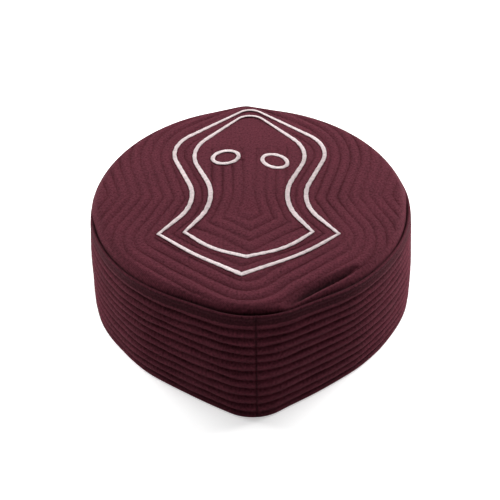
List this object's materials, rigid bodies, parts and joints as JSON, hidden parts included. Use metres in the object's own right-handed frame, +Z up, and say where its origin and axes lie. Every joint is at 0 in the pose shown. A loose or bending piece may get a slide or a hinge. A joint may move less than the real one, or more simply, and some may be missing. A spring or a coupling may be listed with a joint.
{
  "type": "prayer cap",
  "caption": "Quilted cotton prayer cap: flat round top with an embroidered sandal motif, upright band with stitched rows, and a rim drawn to soft points front and back.",
  "frame": {"origin": "middle of the rim's box, on the surface that the cap stands on", "axes": "+Z up through the top panel, +Y from the band's upright seam to the motif's toe, +X to the right seen from the seam"},
  "size_m": [0.182, 0.2132, 0.0681],
  "materials": {
    "cloth": "matte maroon cotton twill, quilted",
    "thread": "off-white satin stitch"
  },
  "bodies": {
    "root": {"band": "cloth", "top_panel": "cloth", "motif_outer": "thread", "motif_inner": "thread", "motif_ring_left": "thread", "motif_ring_right": "thread"}
  },
  "joints": []
}
